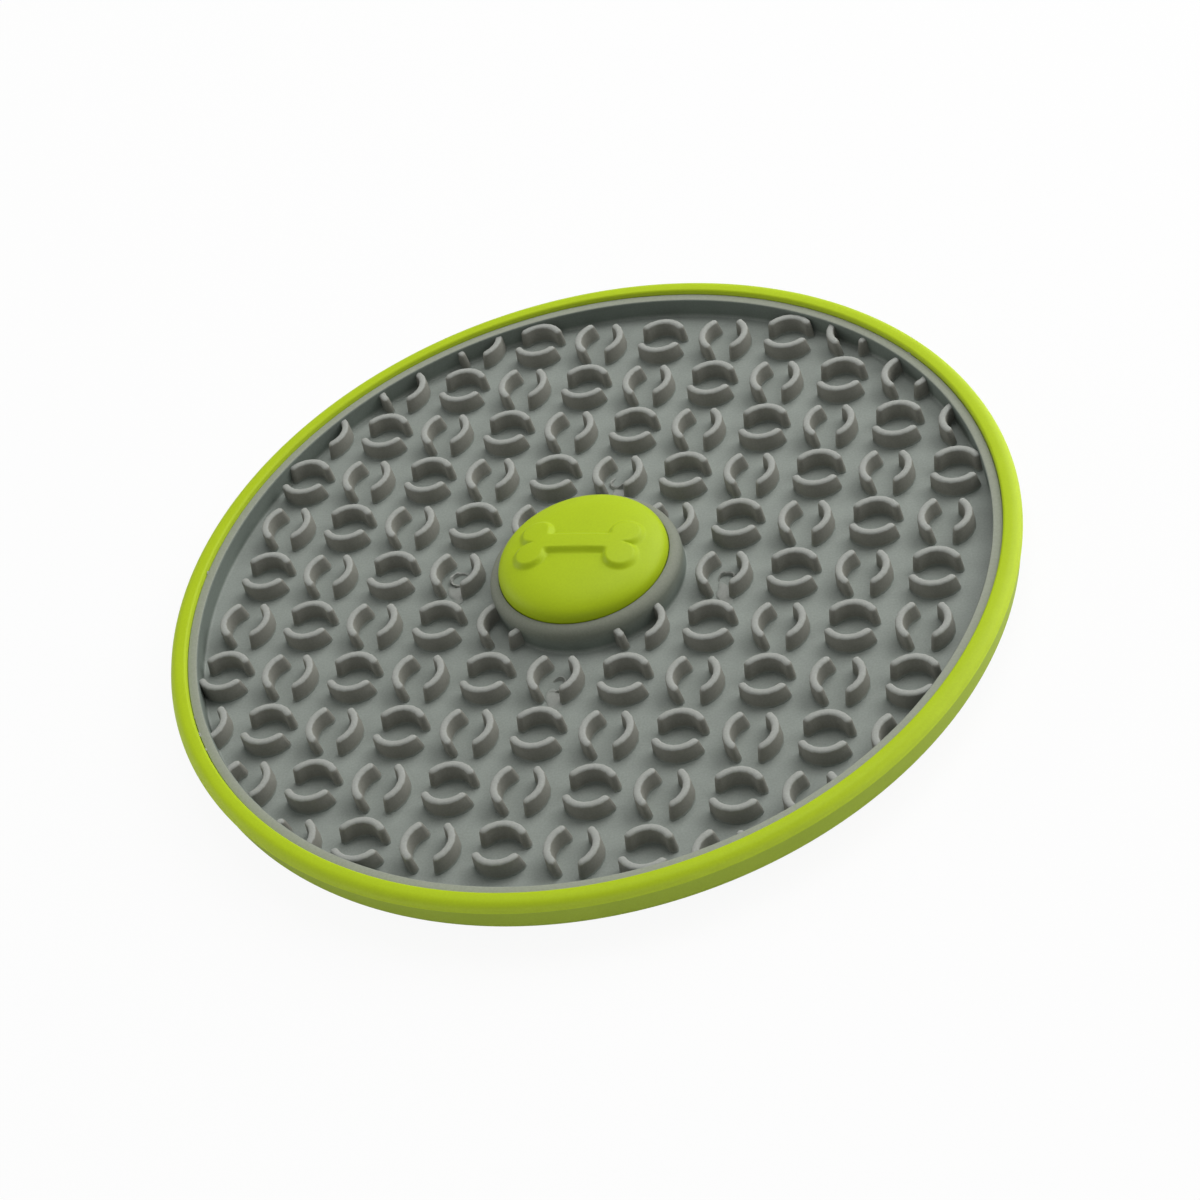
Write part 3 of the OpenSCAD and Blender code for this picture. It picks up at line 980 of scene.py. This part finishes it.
def add_grain(nodes, links, place, colour, spread):
    """Lightens and darkens a colour in fine grains, by up to this share of it."""
    grain = add_noise(nodes, links, place, 0.45 * MM, detail=2)
    tint = nodes.new("ShaderNodeMix")
    tint.data_type = "RGBA"
    tint.blend_type = "MULTIPLY"
    tint.inputs["Factor"].default_value = 1
    links.new(colour, tint.inputs["A"])
    links.new(add_range(nodes, links, grain, 0.3, 0.7, 1 - spread, 1 + spread), tint.inputs["B"])
    return tint.outputs["Result"]


def green_plastic(name, shade, painted_sheen=None):
    """A shade of lime. A painted sheen colour takes over down the rim's side as a painted reflection of
    the table, and brings the turned lines.
    """
    material, nodes, links, shader, place = start_material(name)
    colour = add_blotches(nodes, links, place, tuple(shade * part for part in LIME))
    fine = add_noise(nodes, links, place, 0.22 * MM, detail=3)
    links.new(add_range(nodes, links, fine, 0.3, 0.7, 0.44, 0.58), shader.inputs["Roughness"])
    height = fine
    if painted_sheen:
        parts = add_parts(nodes, links, place)
        # Painted reflection: going down the rim's side, the colour turns to the painted sheen.
        low = add_step(nodes, links, parts.outputs["Z"], rim_top, rim_z + 0.9 * MM)
        colour = add_mix(nodes, links, low, colour, add_blotches(nodes, links, place, painted_sheen))
        turned = nodes.new("ShaderNodeCombineXYZ")
        links.new(add_radius(nodes, links, parts), turned.inputs["X"])
        links.new(parts.outputs["Z"], turned.inputs["Z"])
        lines = add_noise(nodes, links, turned.outputs["Vector"], 0.35 * MM, detail=1)
        deep_lines = add_math(nodes, links, "MULTIPLY", lines, 1.6)
        height = add_math(nodes, links, "ADD", deep_lines, fine)
    links.new(add_grain(nodes, links, place, colour, GREEN_GRAIN), shader.inputs["Base Color"])
    add_bump(nodes, links, shader, height, 0.02 * MM, strength=0.6)
    shader.inputs["IOR"].default_value = 1.46
    shader.inputs["Specular IOR Level"].default_value = 0.25
    return material


# The rim's lighter shade and the tray's darker one paint light and shade at the step between the two
# tiers.
paint(green_plastic("rim_green_plastic", 1.08, RIM_SIDE_PAINTED_SHEEN), rim)
# The tray lies wholly below the rim, so it takes its pale, bluish painted reflection all over.
paint(green_plastic("tray_green_plastic", 0.95, TRAY_PAINTED_SHEEN), tray)
paint(green_plastic("cap_green_plastic", 1.03), cap)
print("Green pieces:", rim.name, tray.name, cap.name)

# %% [markdown]
# The grey rubber is dull and clouded, with a very fine grain. The tips of the ridges are
# lighter, partly because they are rubbed and dusted with powder and partly as a painted
# highlight. Their walls are darker and a little warmer than the floor, and the darkness is
# painted shade. The height of a point tells its place, so soft steps over the height give all
# three. On the pad, the walls of the well and the collar are darker still, as painted shade, and
# the distance from the axis also finds the collar, which is lighter towards its top as a painted
# highlight, and the lip beside the rim, which is a little lighter and yellower than the floor.
# What was torn, in the scars and the crumbs, takes the tips' colour the higher it stands, so its
# raised parts carry the same wear and painted highlight.

# %% Mix the grey rubber
RUBBER_FLOOR = (0.285, 0.312, 0.284)
# Painted shade: the ridges' walls are darker than the floor.
RUBBER_WALL_PAINTED_SHADE = (0.230, 0.229, 0.199)
# The tips are lighter, partly wear and powder, and partly a painted highlight.
RUBBER_TIP_WORN_AND_LIT = (0.343, 0.354, 0.327)
# Painted shade: the pad's walls are darker still.
PAD_WALL_PAINTED_SHADE = (0.163, 0.190, 0.166)
# Painted highlight: the collar is lighter towards its top.
PAD_COLLAR_PAINTED_LIGHT = (0.224, 0.238, 0.188)
PAD_LIP = (0.313, 0.333, 0.266)
RUBBER_GRAIN = 0.06


def grey_rubber(name):
    """Starts a rubber, and returns its nodes, links, shader, place and cloudy floor colour."""
    material, nodes, links, shader, place = start_material(name)
    spots = add_noise(nodes, links, place, 7 * MM, detail=4)
    clouds = add_range(nodes, links, spots, 0.35, 0.65, 0, 1)
    dark, light = (tuple(shade * part for part in RUBBER_FLOOR) for shade in (0.95, 1.04))
    colour = add_mix(nodes, links, clouds, dark, light)
    fine = add_noise(nodes, links, place, 0.18 * MM, detail=3)
    links.new(add_range(nodes, links, fine, 0.3, 0.7, 0.62, 0.78), shader.inputs["Roughness"])
    add_bump(nodes, links, shader, fine, 0.02 * MM, strength=0.5)
    shader.inputs["Specular IOR Level"].default_value = 0.3
    return material, nodes, links, shader, place, colour


# %% Shade the ridges by height
TIP_DEPTH = 0.35 * MM
ridge_rubber, nodes, links, shader, place, colour = grey_rubber("ridge_rubber")
parts = add_parts(nodes, links, place)
# Painted shade: from just above the floor, the walls take a darker colour.
rise = add_step(nodes, links, parts.outputs["Z"], well_z, well_z + 0.8 * MM)
colour = add_mix(nodes, links, rise, colour, RUBBER_WALL_PAINTED_SHADE)
# Painted highlight, partly wear: the tips are lighter, and noise makes their edge uneven.
wear_and_highlight = add_math(nodes, links, "MULTIPLY", add_noise(nodes, links, place, 1.5 * MM, detail=2), 0.3 * MM)
tip_z = add_math(nodes, links, "ADD", parts.outputs["Z"], wear_and_highlight)
tip = add_step(nodes, links, tip_z, ridge_top - TIP_DEPTH, ridge_top + 0.05 * MM)
colour = add_mix(nodes, links, tip, colour, RUBBER_TIP_WORN_AND_LIT)
links.new(add_grain(nodes, links, place, colour, RUBBER_GRAIN), shader.inputs["Base Color"])
paint(ridge_rubber, ridges)
print("The tips begin", round((ridge_top - TIP_DEPTH) / MM, 2), "mm up")

# %% Shade the pad by height and by distance from the axis
pad_rubber, nodes, links, shader, place, colour = grey_rubber("pad_rubber")
parts = add_parts(nodes, links, place)
# Painted shade: the well's walls and the collar are darker than the floor.
rise = add_step(nodes, links, parts.outputs["Z"], well_z + 0.1 * MM, well_z + 1.1 * MM)
colour = add_mix(nodes, links, rise, colour, PAD_WALL_PAINTED_SHADE)
radius = add_radius(nodes, links, parts)
# Painted highlight: the collar is lighter towards its top.
upper = add_step(nodes, links, parts.outputs["Z"], well_z + 1 * MM, seam_z)
near_hub = add_range(nodes, links, radius, hub_r + 1 * MM, hub_r + 2 * MM, 1, 0)
on_collar = add_math(nodes, links, "MULTIPLY", upper, near_hub)
colour = add_mix(nodes, links, on_collar, colour, PAD_COLLAR_PAINTED_LIGHT)
# The lip is a little lighter and yellower than the floor.
on_lip = add_step(nodes, links, radius, well_r + 0.05 * MM, well_r + 0.3 * MM)
colour = add_mix(nodes, links, on_lip, colour, PAD_LIP)
# The higher a scar or crumb stands, the more it takes the tips' colour: partly wear, partly painted
# highlight.
torn = nodes.new("ShaderNodeAttribute")
torn.attribute_name = "torn"
colour = add_mix(nodes, links, torn.outputs["Fac"], colour, RUBBER_TIP_WORN_AND_LIT)
links.new(add_grain(nodes, links, place, colour, RUBBER_GRAIN), shader.inputs["Base Color"])
paint(pad_rubber, pad, grip)
print("Rubber pieces:", pad.name, grip.name, ridges.name)

# %% [markdown]
# The suction cup has to seal, so its rubber is smoother and shines a little. The stem inside
# it is an off-white moulding, whose CAD shape is already right and only needs a material.

# %% Mix the cup's rubber and the stem's plastic
CUP_COLOURS = ((0.135, 0.148, 0.142), (0.165, 0.178, 0.170))
STEM_COLOURS = ((0.68, 0.69, 0.66), (0.74, 0.75, 0.73))


def smooth_finish(name, colours, cloud_size, roughness, wave_size, wave_depth):
    """A smooth finish whose colour and shine vary in clouds, with low waves in its surface."""
    material, nodes, links, shader, place = start_material(name)
    clouds = add_noise(nodes, links, place, cloud_size, detail=3)
    links.new(add_mix(nodes, links, clouds, *colours), shader.inputs["Base Color"])
    links.new(add_range(nodes, links, clouds, 0.3, 0.7, *roughness), shader.inputs["Roughness"])
    waves = add_noise(nodes, links, place, wave_size)
    add_bump(nodes, links, shader, waves, wave_depth, strength=0.4)
    return material


paint(smooth_finish("cup_rubber_smooth", CUP_COLOURS, 12 * MM, (0.28, 0.42), 1.2 * MM, 0.02 * MM), cup)
stem_material = smooth_finish("stem_plastic", STEM_COLOURS, 4 * MM, (0.3, 0.42), 0.3 * MM, 0.01 * MM)
stem = frame["nodes"]["cup_stem"]
for material_slot in stem.material_slots:
    material_slot.material = stem_material
print("The stem has", len(stem.material_slots), "material slot")

# %% [markdown]
# The light is a wide softbox at the back right, which strikes the walls that face that way, one
# behind the mat high up, a weak low one at the left and a very weak low one in front. The pale
# room fills in between them, and the walls towards the camera fall into soft shade. The table
# is pale. Camera rays see it nearly white, while all other rays meet an ordinary pale surface.

# %% Set up the table
TABLE_SIDE = 6
TABLE_DROP = 0.02 * MM
TABLE_WHITENESS = 0.93
bpy.context.scene.view_settings.view_transform = "Standard"
deselect_all()
bpy.ops.mesh.primitive_plane_add(size=TABLE_SIDE, location=(0, 0, -TABLE_DROP))
table = name_piece("table")
table_material = bpy.data.materials.new("pale_table")
table_material.use_nodes = True
nodes, links = table_material.node_tree.nodes, table_material.node_tree.links
nodes["Principled BSDF"].inputs["Base Color"].default_value = (0.80, 0.80, 0.79, 1)
nodes["Principled BSDF"].inputs["Roughness"].default_value = 0.8
glow = nodes.new("ShaderNodeEmission")
blend = nodes.new("ShaderNodeMixShader")
ray = nodes.new("ShaderNodeLightPath")
whiten = add_math(nodes, links, "MULTIPLY", ray.outputs["Is Camera Ray"], TABLE_WHITENESS)
links.new(whiten, blend.inputs["Fac"])
links.new(nodes["Principled BSDF"].outputs["BSDF"], blend.inputs[1])
links.new(glow.outputs["Emission"], blend.inputs[2])
links.new(blend.outputs["Shader"], nodes["Material Output"].inputs["Surface"])
table.data.materials.append(table_material)
print("The table's top is at", round(table.location.z / MM, 2), "mm")

# %% Set up the sky
SKY_STRENGTH = 0.29
world = bpy.data.worlds.new("studio")
bpy.context.scene.world = world
world.use_nodes = True
nodes, links = world.node_tree.nodes, world.node_tree.links
sky = nodes["Background"]
sky.inputs["Color"].default_value = (0.98, 0.99, 1.0, 1)
sky.inputs["Strength"].default_value = SKY_STRENGTH
white = nodes.new("ShaderNodeBackground")
white.inputs["Color"].default_value = (1, 1, 1, 1)
white.inputs["Strength"].default_value = 1
blend = nodes.new("ShaderNodeMixShader")
ray = nodes.new("ShaderNodeLightPath")
links.new(ray.outputs["Is Camera Ray"], blend.inputs["Fac"])
links.new(sky.outputs["Background"], blend.inputs[1])
links.new(white.outputs["Background"], blend.inputs[2])
links.new(blend.outputs["Shader"], nodes["World Output"].inputs["Surface"])

# %% Hang the softboxes
# Each one's name, place, width, height and power in watts. It faces the mat, with its width level.
SOFTBOXES = (
    ("back_right_softbox", (0.721, 0.801, 0.727), 1.5, 1.0, 15.6),
    ("high_back_softbox", (0, 0.487, 1.205), 0.6, 0.6, 4.3),
    ("low_left_softbox", (-1.236, 0, 0.402), 0.6, 0.6, 3.0),
    ("low_front_softbox", (0.2, -1.25, 0.3), 0.6, 0.6, 0.85))
for name, place, width, height, power in SOFTBOXES:
    bpy.ops.object.light_add(type="AREA", location=place)
    lamp = bpy.context.object
    lamp.name = name
    lamp.data.shape = "RECTANGLE"
    lamp.data.size = width
    lamp.data.size_y = height
    lamp.data.energy = power
    lamp.rotation_mode = "QUATERNION"
    lamp.rotation_quaternion = (-Vector(place)).to_track_quat("-Z", "Y")
    print(name, "gives", power, "W")
